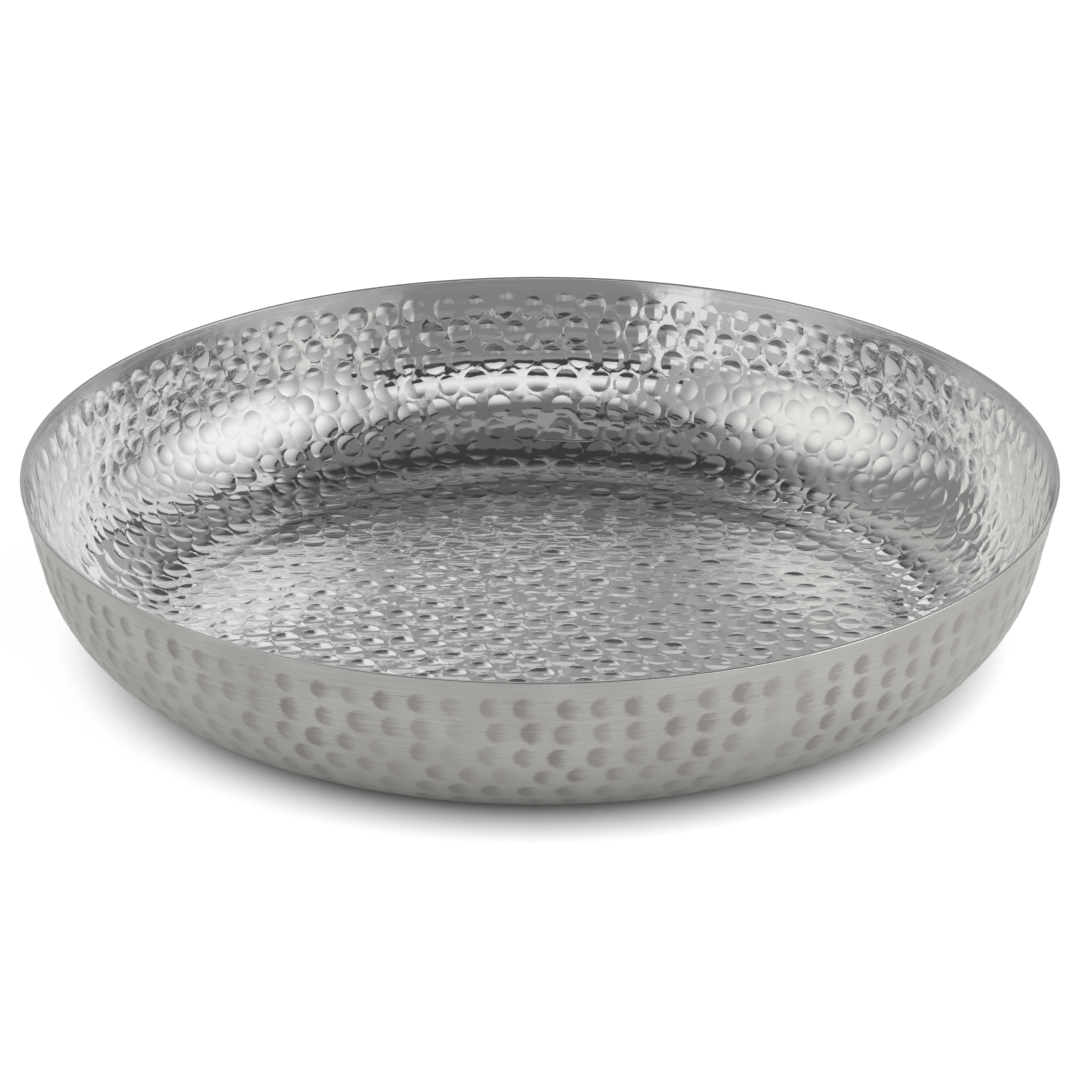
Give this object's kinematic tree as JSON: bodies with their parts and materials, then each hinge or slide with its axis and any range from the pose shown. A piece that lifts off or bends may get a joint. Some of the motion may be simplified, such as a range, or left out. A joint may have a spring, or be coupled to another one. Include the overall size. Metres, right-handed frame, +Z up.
{
  "type": "seafood tray",
  "caption": "Round hammered aluminium tray with a flat base, a wide bend and a low leaning wall, for serving seafood on ice.",
  "frame": {"origin": "centre of the base, on the surface that the tray stands on", "axes": "+Z up along the tray's axis; the tray is round, so X and Y are any two level directions"},
  "size_m": [0.36, 0.36, 0.064],
  "materials": {
    "hammered_aluminium": "hammered all over, polished inside and satin brushed outside"
  },
  "bodies": {
    "root": {"tray": "hammered_aluminium"}
  },
  "joints": []
}
